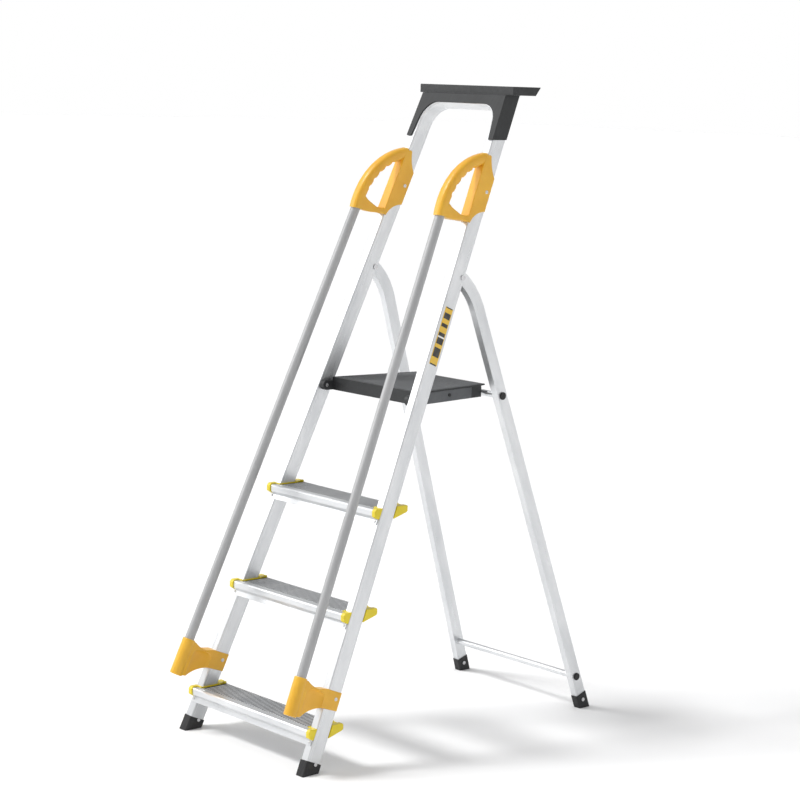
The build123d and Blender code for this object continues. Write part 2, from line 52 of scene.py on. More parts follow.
# ---- the ladder's own directions, as in the CAD ----
LEAN = radians(23.0)            # stiles lean back
SPLAY = radians(3.06)           # and in towards the middle
LEG_LEAN = radians(19.7)
LEG_SPLAY = radians(3.3)
STILE_WIDTH = 22 * MM
STILE_DEPTH = 40 * MM
FOOT_HALF = 224 * MM
PIVOT_RISE = 1177 * MM
PIVOT_DEPTH = 33.8 * MM
RAIL_DEPTH = -80 * MM

pivots = {joint["name"]: Vector(joint["pos_m"]) for joint in frame["record"]["behaviour"]["joints"]}
rear_pivot = pivots["rear_fold"]
foot_line = rear_pivot.y - PIVOT_RISE * sin(LEAN) - PIVOT_DEPTH * cos(LEAN)
stile_centre = FOOT_HALF - STILE_WIDTH / 2

base = Matrix.Translation((0, foot_line, 0))
slope = base @ Matrix.Rotation(-LEAN, 4, "X")
stile = slope @ Matrix.Translation((stile_centre, 0, 0)) @ Matrix.Rotation(-SPLAY, 4, "Y")
MIRROR = Matrix.Diagonal((-1, 1, 1, 1))
# a flat outline drawn as (depth, rise) stands in the side plane of the stile
SIDE = Matrix(((0, 0, 1, 0), (1, 0, 0, 0), (0, 1, 0, 0), (0, 0, 0, 1)))
SIDES = (("right", Matrix.Identity(4)), ("left", MIRROR))


def direction(place):
    """The way a place's third axis points."""
    return (place.to_3x3() @ Vector((0, 0, 1))).normalized()


# ---- materials ----
class Finish:
    """A material being put together: a shader and the patterns that drive it."""

    def __init__(self, name, **settings):
        self.material = bpy.data.materials.new(name)
        self.material.use_nodes = True
        self.nodes = self.material.node_tree.nodes
        self.links = self.material.node_tree.links
        self.shader = self.nodes["Principled BSDF"]
        for key, value in settings.items():
            self.shader.inputs[key.replace("_", " ")].default_value = value

    def coordinates(self, along=None, scale=(1, 1, 1), source="Object"):
        """Coordinates whose third axis runs along a direction, scaled on each axis."""
        texture = self.nodes.new("ShaderNodeTexCoord")
        mapping = self.nodes.new("ShaderNodeMapping")
        mapping.vector_type = "POINT"
        if along is not None:
            turn = Vector(along).rotation_difference(Vector((0, 0, 1))).to_euler()
            mapping.inputs["Rotation"].default_value = turn
        self.links.new(texture.outputs[source], mapping.inputs["Vector"])
        stretch = self.nodes.new("ShaderNodeVectorMath")
        stretch.operation = "MULTIPLY"
        stretch.inputs[1].default_value = scale
        self.links.new(mapping.outputs[0], stretch.inputs[0])
        return stretch.outputs[0]

    def noise(self, where, scale, detail=3.0, roughness=0.55):
        node = self.nodes.new("ShaderNodeTexNoise")
        node.inputs["Scale"].default_value = scale
        node.inputs["Detail"].default_value = detail
        node.inputs["Roughness"].default_value = roughness
        self.links.new(where, node.inputs["Vector"])
        return node.outputs["Fac"]

    def spread(self, value, low, high, start=0.3, end=0.7):
        """A pattern's middle range stretched to run from low to high."""
        node = self.nodes.new("ShaderNodeMapRange")
        node.inputs["From Min"].default_value = start
        node.inputs["From Max"].default_value = end
        node.inputs["To Min"].default_value = low
        node.inputs["To Max"].default_value = high
        self.links.new(value, node.inputs["Value"])
        return node.outputs["Result"]

    def mix(self, share, low, high):
        """Two colours, or colours from other nodes, mixed by a pattern."""
        node = self.nodes.new("ShaderNodeMix")
        node.data_type = "RGBA"
        self.links.new(share, node.inputs["Factor"])
        for name, value in (("A", low), ("B", high)):
            target = [s for s in node.inputs if s.name == name and s.type == "RGBA"][0]
            if isinstance(value, tuple):
                target.default_value = (*value, 1)
            else:
                self.links.new(value, target)
        return [s for s in node.outputs if s.type == "RGBA"][0]

    def edges(self, reach=0.0007):
        """How much a spot lies on an edge: where a normal rounded over the reach turns away."""
        soft = self.nodes.new("ShaderNodeBevel")
        soft.samples = 4
        soft.inputs["Radius"].default_value = reach
        geometry = self.nodes.new("ShaderNodeNewGeometry")
        turn = self.nodes.new("ShaderNodeVectorMath")
        turn.operation = "DOT_PRODUCT"
        self.links.new(soft.outputs[0], turn.inputs[0])
        self.links.new(geometry.outputs["Normal"], turn.inputs[1])
        return self.spread(turn.outputs["Value"], 1, 0, 0.88, 0.985)

    def bump(self, height, depth, strength=1.0, after=None):
        node = self.nodes.new("ShaderNodeBump")
        node.inputs["Distance"].default_value = depth
        node.inputs["Strength"].default_value = strength
        self.links.new(height, node.inputs["Height"])
        if after is not None:
            self.links.new(after, node.inputs["Normal"])
        return node.outputs["Normal"]

    def drive(self, name, value):
        self.links.new(value, self.shader.inputs[name])


def extruded_metal(name, along, low=(0.62, 0.635, 0.65), high=(0.76, 0.77, 0.78), rough=(0.27, 0.42)):
    """Satin extruded metal: die lines along its length, cloudy handling marks, bright edges."""
    finish = Finish(name, Metallic=0.85)
    lines = finish.noise(finish.coordinates(along, (420, 420, 5)), 1.0, 4.0)
    fine = finish.noise(finish.coordinates(along, (1500, 1500, 40)), 1.0, 2.0)
    clouds = finish.noise(finish.coordinates(along, (22, 22, 7)), 1.0, 5.0)
    colour = finish.mix(finish.spread(clouds, 0.0, 1.0), low, high)
    colour = finish.mix(finish.edges(), colour, (0.93, 0.93, 0.94))
    finish.drive("Base Color", colour)
    finish.drive("Roughness", finish.spread(lines, *rough))
    grooves = finish.bump(lines, 0.00006, 0.6)
    finish.drive("Normal", finish.bump(fine, 0.00002, 0.5, grooves))
    return finish.material


def moulded(name, low, high, rough, grain=900.0, depth=0.00004, edge=None, **settings):
    """Moulded plastic or rubber: fine grain, slight colour drift, edges rubbed lighter."""
    finish = Finish(name, **settings)
    where = finish.coordinates()
    grains = finish.noise(where, grain, 3.0, 0.6)
    drift = finish.noise(where, 18.0, 4.0)
    scuffs = finish.noise(finish.coordinates((0.3, 0.4, 0.87), (340, 340, 14)), 1.0, 3.0)
    colour = finish.mix(finish.spread(drift, 0.0, 1.0), low, high)
    if edge is not None:
        colour = finish.mix(finish.edges(), colour, edge)
    finish.drive("Base Color", colour)
    finish.drive("Roughness", finish.spread(scuffs, *rough))
    finish.drive("Normal", finish.bump(grains, depth, 0.7))
    return finish.material


def striped_film(name):
    """A generic label: a gold field with dark bars and thin pale lines, on the piece's own UVs."""
    finish = Finish(name, Roughness=0.35)
    texture = finish.nodes.new("ShaderNodeTexCoord")
    split = finish.nodes.new("ShaderNodeSeparateXYZ")
    finish.links.new(texture.outputs["UV"], split.inputs[0])
    bars = finish.nodes.new("ShaderNodeValToRGB")
    ramp = bars.color_ramp
    ramp.interpolation = "CONSTANT"
    gold, dark, pale = (0.80, 0.50, 0.035, 1), (0.012, 0.012, 0.014, 1), (0.86, 0.86, 0.83, 1)
    stops = ((0.0, dark), (0.02, gold), (0.14, dark), (0.30, gold), (0.36, dark), (0.47, pale), (0.50, dark),
             (0.56, gold), (0.66, dark), (0.72, gold), (0.80, dark), (0.90, gold), (0.98, dark))
    ramp.elements[0].color = stops[0][1]
    ramp.elements[1].position = stops[1][0]
    ramp.elements[1].color = stops[1][1]
    for position, colour in stops[2:]:
        ramp.elements.new(position).color = colour
    finish.links.new(split.outputs["X"], bars.inputs["Fac"])
    border = finish.nodes.new("ShaderNodeMath")
    border.operation = "PINGPONG"
    border.inputs[1].default_value = 0.5
    finish.links.new(split.outputs["Y"], border.inputs[0])
    inside = finish.spread(border.outputs[0], 0, 1, 0.07, 0.09)
    smudges = finish.noise(finish.coordinates(), 60.0, 4.0)
    worn = finish.mix(finish.spread(smudges, 0, 0.12), bars.outputs["Color"], (0.5, 0.45, 0.35))
    finish.drive("Base Color", finish.mix(inside, (0.80, 0.50, 0.035), worn))
    finish.drive("Normal", finish.bump(finish.noise(finish.coordinates(), 1400.0), 0.00001, 0.5))
    return finish.material


MATERIALS = {
    "right_stile": extruded_metal("stile_metal_right", direction(stile)),
    "left_stile": extruded_metal("stile_metal_left", direction(MIRROR @ stile)),
    "across": extruded_metal("tread_metal", (1, 0, 0)),
    "bow": extruded_metal("bow_metal", (1, 0, 0)),
    "ridges": extruded_metal("ridge_metal", (0, 1, 0), (0.60, 0.62, 0.64), (0.78, 0.79, 0.80)),
    # near-black metal for the tread skin between the ridges: painted shade standing for the shadow in the
    # grooves
    "valley": extruded_metal("groove_painted_shade_metal", (0, 1, 0), (0.05, 0.055, 0.06), (0.09, 0.095, 0.10),
                             (0.5, 0.65)),
    "right_leg": extruded_metal("leg_metal_right", (sin(LEG_SPLAY), sin(LEG_LEAN), -cos(LEG_LEAN))),
    "left_leg": extruded_metal("leg_metal_left", (-sin(LEG_SPLAY), sin(LEG_LEAN), -cos(LEG_LEAN))),
    "steel": extruded_metal("fastener_steel", (1, 0, 0), (0.55, 0.55, 0.56), (0.74, 0.74, 0.75), (0.22, 0.4)),
    "amber": moulded("amber_plastic", (0.73, 0.375, 0.018), (0.81, 0.445, 0.03), (0.34, 0.48), 1100.0,
                     0.00003, (0.93, 0.60, 0.14), Subsurface_Weight=0.05, Coat_Weight=0.15, Coat_Roughness=0.3),
    "lime": moulded("lime_plastic", (0.70, 0.55, 0.004), (0.78, 0.62, 0.008), (0.3, 0.42), 900.0, 0.00002,
                    (0.86, 0.74, 0.06), Coat_Weight=0.2, Coat_Roughness=0.25),
    "dark": moulded("anthracite_plastic", (0.013, 0.014, 0.015), (0.021, 0.0225, 0.024), (0.42, 0.58), 1300.0,
                    0.00005, (0.085, 0.088, 0.092)),
    "grey": moulded("grey_plastic", (0.075, 0.080, 0.086), (0.10, 0.106, 0.112), (0.45, 0.6), 1300.0, 0.00004,
                    (0.16, 0.165, 0.17)),
    "rubber": moulded("black_rubber", (0.008, 0.008, 0.009), (0.016, 0.016, 0.017), (0.5, 0.72), 700.0,
                      0.00008, (0.05, 0.05, 0.05)),
    "label": striped_film("striped_label"),
}


def rail_finish(name, along):
    """Satin grey coating on a drawn tube, with faint lines along it."""
    finish = Finish(name, Metallic=0.35)
    lines = finish.noise(finish.coordinates(along, (520, 520, 6)), 1.0, 3.0)
    clouds = finish.noise(finish.coordinates(along, (14, 14, 5)), 1.0, 4.0)
    colour = finish.mix(finish.spread(clouds, 0, 1), (0.37, 0.373, 0.377), (0.44, 0.443, 0.447))
    finish.drive("Base Color", finish.mix(finish.edges(), colour, (0.5, 0.5, 0.5)))
    finish.drive("Roughness", finish.spread(lines, 0.36, 0.52))
    finish.drive("Normal", finish.bump(lines, 0.00004, 0.5))
    return finish.material


MATERIALS["right_rail"] = rail_finish("rail_coating_right", direction(stile))
MATERIALS["left_rail"] = rail_finish("rail_coating_left", direction(MIRROR @ stile))


# ---- building blocks ----
def finish_mesh(mesh, angle=radians(32)):
    """Consistent outward normals, smooth shading across soft corners only."""
    work = bmesh.new()
    work.from_mesh(mesh)
    bmesh.ops.remove_doubles(work, verts=work.verts, dist=1e-6)
    bmesh.ops.recalc_face_normals(work, faces=work.faces)
    work.to_mesh(mesh)
    work.free()
    mesh.shade_smooth()
    mesh.set_sharp_from_angle(angle=angle)


def add(name, mesh, body, material, nodes=(), place=None):
    """Puts a mesh in the scene as a piece that rides on a body and stands for CAD nodes."""
    if place is not None:
        mesh.transform(place)
    finish_mesh(mesh)
    mesh.materials.clear()
    mesh.materials.append(MATERIALS[material])
    piece = bpy.data.objects.new(name, mesh)
    bpy.context.scene.collection.objects.link(piece)
    even = piece.modifiers.new("even_shading", "WEIGHTED_NORMAL")
    even.keep_sharp = True
    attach(piece, body)
    if nodes:
        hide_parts(*nodes)
    return piece


def rounded(mesh, width, segments=3, angle=radians(30)):
    """The mesh with its sharp edges rounded by a bevel."""
    holder = bpy.data.objects.new("rounding", mesh)
    bpy.context.scene.collection.objects.link(holder)
    bevel = holder.modifiers.new("bevel", "BEVEL")
    bevel.width = width
    bevel.segments = segments
    bevel.limit_method = "ANGLE"
    bevel.angle_limit = angle
    result = bpy.data.meshes.new_from_object(
        holder.evaluated_get(bpy.context.evaluated_depsgraph_get()))
    bpy.data.objects.remove(holder)
    return result


def carved(mesh, *cutters):
    """The mesh with other closed meshes cut out of it."""
    holder = bpy.data.objects.new("carving", mesh)
    bpy.context.scene.collection.objects.link(holder)
    tools = []
    for cutter in cutters:
        tool = bpy.data.objects.new("cutter", cutter)
        bpy.context.scene.collection.objects.link(tool)
        cut = holder.modifiers.new("cut", "BOOLEAN")
        cut.operation = "DIFFERENCE"
        cut.solver = "EXACT"
        cut.object = tool
        tools.append(tool)
    result = bpy.data.meshes.new_from_object(
        holder.evaluated_get(bpy.context.evaluated_depsgraph_get()))
    for item in tools + [holder]:
        bpy.data.objects.remove(item)
    return result


def from_cad(node, clean=radians(1.0)):
    """A working copy of a CAD node's shape with its flat faces whole again."""
    work = bmesh.new()
    work.from_mesh(frame["nodes"][node].data)
    bmesh.ops.remove_doubles(work, verts=work.verts, dist=2e-6)
    bmesh.ops.dissolve_limit(work, angle_limit=clean, verts=work.verts, edges=work.edges)
    mesh = bpy.data.meshes.new(node + "_shape")
    work.to_mesh(mesh)
    work.free()
    return mesh


def plate(outline, holes, half, bevel, steps=3):
    """A flat outline with holes, made thick to both sides of its plane, with rounded rims."""
    curve = bpy.data.curves.new("plate", "CURVE")
    curve.dimensions = "2D"
    curve.fill_mode = "BOTH"
    curve.extrude = half - bevel
    curve.bevel_depth = bevel
    curve.bevel_resolution = steps
    curve.offset = -bevel
    for loop in (outline, *holes):
        spline = curve.splines.new("POLY")
        spline.points.add(len(loop) - 1)
        for point, (a, b) in zip(spline.points, loop):
            point.co = (a, b, 0, 1)
        spline.use_cyclic_u = True
    holder = bpy.data.objects.new("plate", curve)
    bpy.context.scene.collection.objects.link(holder)
    bpy.context.view_layer.update()
    mesh = bpy.data.meshes.new_from_object(
        holder.evaluated_get(bpy.context.evaluated_depsgraph_get()))
    bpy.data.objects.remove(holder)
    return mesh


def from_faces(vertices, faces):
    """A mesh from its points and faces."""
    mesh = bpy.data.meshes.new("shape")
    mesh.from_pydata([tuple(v) for v in vertices], [], faces)
    return mesh


def swept(rings, capped=True):
    """Rings of points with faces from each ring to the next, and flat ends where capped."""
    count = len(rings[0])
    faces = []
    for start in range(0, (len(rings) - 1) * count, count):
        for i in range(count):
            n = (i + 1) % count
            faces.append((start + i, start + n, start + count + n, start + count + i))
    if capped:
        final = (len(rings) - 1) * count
        faces += [tuple(range(count))[::-1], tuple(range(final, final + count))]
    return from_faces([point for ring in rings for point in ring], faces)


def prism(outline, start, end):
    """A (depth, height) outline run along X from start to end."""
    return swept([[(x, a, b) for a, b in outline] for x in (start, end)])


def lathe(profile, segments=40):
    """A (radius, height) profile turned about Z; it starts and ends on the axis or closes on itself."""
    work = bmesh.new()
    rings = []
    for radius, height in profile:
        if radius < 1e-7:
            rings.append([work.verts.new((0, 0, height))])
            continue
        rings.append([
            work.verts.new((radius * cos(2 * pi * k / segments), radius * sin(2 * pi * k / segments), height))
            for k in range(segments)
        ])
    closed = len(rings[0]) > 1 and len(rings[-1]) > 1
    pairs = list(zip(rings, rings[1:])) + ([(rings[-1], rings[0])] if closed else [])
    for low, high in pairs:
        for k in range(segments):
            n = (k + 1) % segments
            ring = [low[k % len(low)], low[n % len(low)], high[n % len(high)], high[k % len(high)]]
            work.faces.new(list(dict.fromkeys(ring)))
    mesh = bpy.data.meshes.new("turned")
    work.to_mesh(mesh)
    work.free()
    return mesh


BOX_FACES = [(3, 2, 1, 0), (4, 5, 6, 7), (0, 1, 5, 4), (1, 2, 6, 5), (2, 3, 7, 6), (3, 0, 4, 7)]


def level(low_x, low_y, high_x, high_y, height):
    """The corners of a level rectangle."""
    return [(x, y, height) for x, y in ((low_x, low_y), (high_x, low_y), (high_x, high_y), (low_x, high_y))]


def block(low, high):
    """An upright box between two opposite corners."""
    (a, b, c), (d, e, f) = low, high
    return from_faces(level(a, b, d, e, c) + level(a, b, d, e, f), BOX_FACES)


def joined(meshes):
    """One mesh holding all of these."""
    work = bmesh.new()
    for mesh in meshes:
        work.from_mesh(mesh)
    result = bpy.data.meshes.new("joined")
    work.to_mesh(result)
    work.free()
    return result


def both_sides(mesh):
    """The mesh and its mirror image about the middle plane."""
    other = mesh.copy()
    other.transform(MIRROR)
    other.flip_normals()
    return joined([mesh, other])


def corner(points, radii, steps=6):
    """A closed outline with its corners rounded by the given radii."""
    result = []
    count = len(points)
    for k, (point, radius) in enumerate(zip(points, radii)):
        here = Vector(point)
        if radius <= 0:
            result.append(tuple(here))
            continue
        back = (Vector(points[k - 1]) - here).normalized()
        on = (Vector(points[(k + 1) % count]) - here).normalized()
        half = acos(max(-1, min(1, back.dot(on)))) / 2
        reach = radius / tan(half)
        middle = here + (back + on).normalized() * (radius / sin(half))
        start, end = here + back * reach - middle, here + on * reach - middle
        turn = start.angle_signed(end)
        for step in range(steps + 1):
            angle = -turn * step / steps
            result.append((
                middle.x + start.x * cos(angle) - start.y * sin(angle),
                middle.y + start.x * sin(angle) + start.y * cos(angle)))
    return result


def scaled(points):
    """Points in millimetres turned into metres."""
    return [(a * MM, b * MM) for a, b in points]


def three_point_arc(first, middle, last):
    """Centre, radius and end angles of the arc through three points."""
    (ax, ay), (bx, by), (cx, cy) = first, middle, last
    d = 2 * (ax * (by - cy) + bx * (cy - ay) + cx * (ay - by))
    a, b, c = ax * ax + ay * ay, bx * bx + by * by, cx * cx + cy * cy
    ux = (a * (by - cy) + b * (cy - ay) + c * (ay - by)) / d
    uy = (a * (cx - bx) + b * (ax - cx) + c * (bx - ax)) / d
    centre = Vector((ux, uy))
    return centre, (Vector(first) - centre).length, atan2(ay - uy, ax - ux), atan2(cy - uy, cx - ux)


def arc_points(first, middle, last, count=12):
    """Points along the arc through three points, both ends included."""
    centre, radius, start, end = three_point_arc(first, middle, last)
    probe = atan2(middle[1] - centre.y, middle[0] - centre.x)
    while end < start:
        end += 2 * pi
    while probe < start:
        probe += 2 * pi
    if probe > end:
        end -= 2 * pi
    return [
        (centre.x + radius * cos(start + (end - start) * k / count),
         centre.y + radius * sin(start + (end - start) * k / count)) for k in range(count + 1)
    ]


# ---- stiles ----
def grooved_section(width, depth, corner_radius, groove):
    """Outline of a tube with rounded corners and a shallow groove near each end of its side faces."""
    w, d, r = width / 2, depth, corner_radius
    points = [(-w, 0), (w, 0)]
    radii = [r, r]
    for a, b in ((7, 8), (32, 33)):
        points += [(w, a * MM), (w - groove, a * MM + 0.0003), (w - groove, b * MM - 0.0003), (w, b * MM)]
        radii += [0, 0, 0, 0]
    points += [(w, d), (-w, d)]
    radii += [r, r]
    for a, b in ((33, 32), (8, 7)):
        points += [(-w, a * MM), (-w + groove, a * MM - 0.0003), (-w + groove, b * MM + 0.0003), (-w, b * MM)]
        radii += [0, 0, 0, 0]
    return corner(points, radii, 5)


WALL = 1.5 * MM
inner_half = STILE_WIDTH / 2 - WALL
SLOT_MIDDLE = PIVOT_RISE - 32 * MM
SLOT_HALF = 60 * MM
PAST = 10 * MM                  # cutters run this far past what they cut
stile_low, stile_high = 24 * MM, 1518 * MM
section = grooved_section(STILE_WIDTH, STILE_DEPTH, 2.4 * MM, 0.35 * MM)
for side, flip in SIDES:
    tube = swept([[(a, b, rise) for a, b in section] for rise in (stile_low, stile_high)])
    finish_mesh(tube)
    hollow = block((-inner_half, WALL, stile_low - PAST),
                   (inner_half, STILE_DEPTH - WALL, stile_high + PAST))
    mouth = block((-inner_half, STILE_DEPTH - 2 * WALL, SLOT_MIDDLE - SLOT_HALF),
                  (inner_half, STILE_DEPTH + PAST, SLOT_MIDDLE + SLOT_HALF))
    tube = carved(tube, hollow, mouth)
    add(side + "_stile_tube", tube, "front_frame", side + "_stile", [side + "_stile"],
        flip @ stile)


# ---- bow: the same section carried round both corners ----
BOW_RADIUS = 60 * MM
BOW_TOP = 1612 * MM
bow_middle = BOW_TOP - STILE_WIDTH / 2
bow_low = Vector((stile_centre - sin(SPLAY) * stile_high, cos(SPLAY) * stile_high))
bow_corner = Vector((stile_centre - tan(SPLAY) * bow_middle, bow_middle))
into = (bow_low - bow_corner).normalized()
bend_reach = BOW_RADIUS * tan((pi / 2 - SPLAY) / 2)
bend_start = bow_corner + into * bend_reach
bend_centre = Vector((bow_corner.x - bend_reach, bow_middle - BOW_RADIUS))
BEND_STEPS = 16
right_path = [(bow_low, SPLAY), (bow_low.lerp(bend_start, 0.5), SPLAY)]
for step in range(BEND_STEPS + 1):
    turn = SPLAY + (pi / 2 - SPLAY) * step / BEND_STEPS
    right_path.append((bend_centre + BOW_RADIUS * Vector((cos(turn), sin(turn))), turn))
left_path = [(Vector((-point.x, point.y)), pi - turn) for point, turn in reversed(right_path)]
bow_rings = [[(point.x + a * cos(turn), b, point.y + a * sin(turn)) for a, b in section]
             for point, turn in right_path + left_path]
add("bow_tube", swept(bow_rings, capped=False), "front_frame", "bow", ["top_bow"], slope)


# ---- treads ----
def line_y(height):
    """How far behind the foot line the stiles' front faces are at a height."""
    return height * tan(LEAN)


def along(height, offset):
    """A point of the tread's side view on a line parallel to the stiles, in millimetres."""
    return (line_y(height) + offset, height)


BACK_LINE = 40 / cos(LEAN)
LIP = 2.2 / cos(LEAN)
NOSE = 20.0
BACK = 68.0
CAP_PAST_TREAD = 3 * MM
RIDGE_PITCH = 8.4 * MM
# the valleys between the ridges show as near-black painted shade
RIDGE_HEIGHT = 0.25             # low enough for the valleys to show at a shallow angle
RIDGE_FOOT, RIDGE_CROWN = 2.1 * MM, 1.8 * MM
RIDGE_TAPER = 0.4 * MM
nose_outer = [(-NOSE, -3), (3 - NOSE, 0), along(0, -1.0), along(-2.2, -1.0), along(-2.6, 0), along(-34, 0),
              along(-34, -LIP), along(-23, -LIP), (-NOSE, -15)]
NOSE_RADII = [1.2 * MM, 2 * MM, 0, 0, 0, 0.4 * MM, 0.5 * MM, 2 * MM, 3 * MM]
rear_outer = [along(-1.9, BACK_LINE), (BACK - 2.4, -1.9), (BACK - 2, 0), (BACK, 0), (BACK, -12),
              along(-23, BACK_LINE + LIP), along(-36, BACK_LINE + LIP), along(-36, BACK_LINE)]
REAR_RADII = [0, 0, 0.3 * MM, 0.8 * MM, 1 * MM, 2 * MM, 0.5 * MM, 0.4 * MM]
WEB_PLACES = (9, 21, 33)


def inside_stile(half, gap):
    """Where the stile's inner face meets the back edge of a tread of this half length, less a gap."""
    return half + CAP_PAST_TREAD - BACK * MM * sin(LEAN) * tan(SPLAY) - STILE_WIDTH - gap


def ridge(x):
    """One bar across the tread's top, its crown narrower than its foot."""
    front, back = 0.8 * MM, (BACK - 3) * MM
    foot = level(x - RIDGE_FOOT, front, x + RIDGE_FOOT, back, -(RIDGE_HEIGHT + 0.1) * MM)
    crown = level(x - RIDGE_CROWN, front + RIDGE_TAPER, x + RIDGE_CROWN, back - RIDGE_TAPER, 0.05 * MM)
    return from_faces(foot + crown, BOX_FACES)


tread_names = ("lower", "middle", "upper")
for name in tread_names:
    half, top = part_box(name + "_tread")[1][0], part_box(name + "_tread")[1][2]
    place = base @ Matrix.Translation((0, line_y(top), top))
    deck_half = inside_stile(half, 3.6 * MM)
    nose, box = [rounded(prism(corner(scaled(outline), radii, 3), -half, half), 0.25 * MM, 2, radians(50))
                 for outline, radii in ((nose_outer, NOSE_RADII), (rear_outer, REAR_RADII))]
    skin = block((-deck_half, -0.5 * MM, -2 * MM), (deck_half, (BACK - 2.5) * MM, -RIDGE_HEIGHT * MM))
    webs = [block((-deck_half, (y - 1) * MM, -10 * MM), (deck_half, (y + 1) * MM, -1.9 * MM))
            for y in WEB_PLACES]
    count = int(2 * (deck_half - 3 * MM) / RIDGE_PITCH)
    ridges = [ridge((k - (count - 1) / 2) * RIDGE_PITCH) for k in range(count)]
    # the skin under the ridges carries the near-black painted shade of the grooves
    for piece, mesh, material in (("front", joined([nose, box]), "across"), ("webs", joined(webs), "across"),
                                  ("skin", skin, "valley"), ("ridges", joined(ridges), "ridges")):
        add(f"{name}_tread_{piece}", mesh, "front_frame", material, [name + "_tread"], place)

# ---- tread end caps: knob, strip and fin ----
EDGE = 2.5
CAP_REACH = 11 * MM
knob = [(-NOSE - EDGE, -3), (2 - NOSE, EDGE), along(EDGE, -0.2), along(-21, -0.2), along(-22, -LIP - 1),
        (-NOSE - EDGE, -16)]
KNOB_RADII = [2.5 * MM, 2.5 * MM, 1.2 * MM, 1 * MM, 1 * MM, 3 * MM]
fin = [along(EDGE, BACK_LINE + 0.2), (BACK + 5, EDGE), (BACK + 8, -1), (BACK + 8, -11), (BACK + 5, -14),
       along(-25, BACK_LINE + LIP), along(-25, BACK_LINE + 0.2)]
FIN_RADII = [1 * MM, 2.5 * MM, 2 * MM, 2 * MM, 2.5 * MM, 1 * MM, 0.8 * MM]
for name in tread_names:
    half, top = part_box(name + "_tread")[1][0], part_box(name + "_tread")[1][2]
    outer = half + CAP_PAST_TREAD
    strip_outer = inside_stile(half, 0.4 * MM)
    strip_inner = strip_outer - 3 * MM
    cap_inner = outer - CAP_REACH + 0.8 * MM
    place = base @ Matrix.Translation((0, line_y(top), top))
    cap_half = (CAP_REACH + 1 * MM) / 2
    side_place = place @ Matrix.Translation((outer - CAP_REACH + cap_half, 0, 0)) @ SIDE
    pieces = []
    for outline, radii in ((knob, KNOB_RADII), (fin, FIN_RADII)):
        end = plate(corner(scaled(outline), radii, 5), [], cap_half, 1.1 * MM)
        end.transform(side_place)
        pieces.append(end)
    strip = rounded(block((strip_inner, -4.5 * MM, -1 * MM), (strip_outer, BACK * MM, EDGE * MM)), 0.7 * MM)
    turn_in = rounded(block((strip_inner, -4.5 * MM, 0), (cap_inner, -0.9 * MM, EDGE * MM)), 0.6 * MM)
    rear_in = rounded(block((strip_inner, (BACK_LINE + 6) * MM, 0), (cap_inner, BACK * MM, EDGE * MM)),
                      0.6 * MM)
    bump = rounded(block((strip_inner - 1 * MM, (BACK - 8) * MM, 1 * MM),
                         (strip_outer + 2.5 * MM, (BACK - 0.5) * MM, 5 * MM)), 1.4 * MM, 4)
    for mesh in (strip, turn_in, rear_in, bump):
        mesh.transform(place)
        pieces.append(mesh)
    whole = joined(pieces)
    for side, flip in SIDES:
        add(f"{side}_{name}_tread_cap", whole.copy(), "front_frame", "lime", [f"{side}_{name}_end_cap"],
            flip)

# ---- tread rivets ----
rivet = lathe([(0, 1.9), (1.6, 1.75), (2.8, 1.2), (3.4, 0.4), (3.5, -0.2), (0, -0.2)], 28)
rivet.transform(Matrix.Scale(MM, 4))
RIVET_DROP = 28 * MM
seats = []
for name in tread_names:
    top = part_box(name + "_tread")[1][2]
    rise = (top - RIVET_DROP) / cos(LEAN)
    x = FOOT_HALF - tan(SPLAY) * rise - STILE_WIDTH / 2
    for hand in (1, -1):
        seat = rivet.copy()
        seat.transform(slope @ Matrix.Translation((hand * x, -2.15 * MM, rise))
                       @ Matrix.Rotation(radians(90), 4, "X"))
        seats.append(seat)
add("tread_rivet_heads", joined(seats), "front_frame", "steel", ["tread_rivets"])

# ---- handles ----
GRIP_WIDTH = 27.0
GRIP_HALF = 13.3
HALF_HANDLE = 13.5 * MM
grip_line = ((-80, 1284), (-58, 1402), (-2, 1457))
centre, radius, _, _ = three_point_arc(*grip_line)
line_points = arc_points(*grip_line, 90)
GROOVES = [0.3 + 0.12 * k for k in range(5)]
GROOVE_RADIUS = 10
GROOVE_SUNK = 7                 # how far a groove's centre stands off the grip


def groove_depth(share, length):
    """How deep a finger groove bites at a share of the grip's length, in millimetres."""
    return max(0.0, *(sqrt(max(0.0, GROOVE_RADIUS ** 2 - ((share - g) * length) ** 2)) - GROOVE_SUNK
                      for g in GROOVES))


grip_length = radius * abs((Vector(line_points[0]) - centre).angle(Vector(line_points[-1]) - centre))
SECTION_POINTS = 32
SQUARENESS = 0.7            # 1 is an ellipse, 0 a rectangle


def grip_ring(place, outward, reach_in, reach_out, half):
    """One section of the grip: an even, rounded rectangle across its line."""
    middle, half_deep = (reach_out - reach_in) / 2, (reach_out + reach_in) / 2
    ring = []
    for k in range(SECTION_POINTS):
        turn = 2 * pi * k / SECTION_POINTS
        out = copysign(abs(cos(turn)) ** SQUARENESS, cos(turn)) * half_deep + middle
        sideways = copysign(abs(sin(turn)) ** SQUARENESS, sin(turn)) * half
        spot = place + outward * out
        ring.append((spot.x * MM, spot.y * MM, sideways * MM))
    return ring


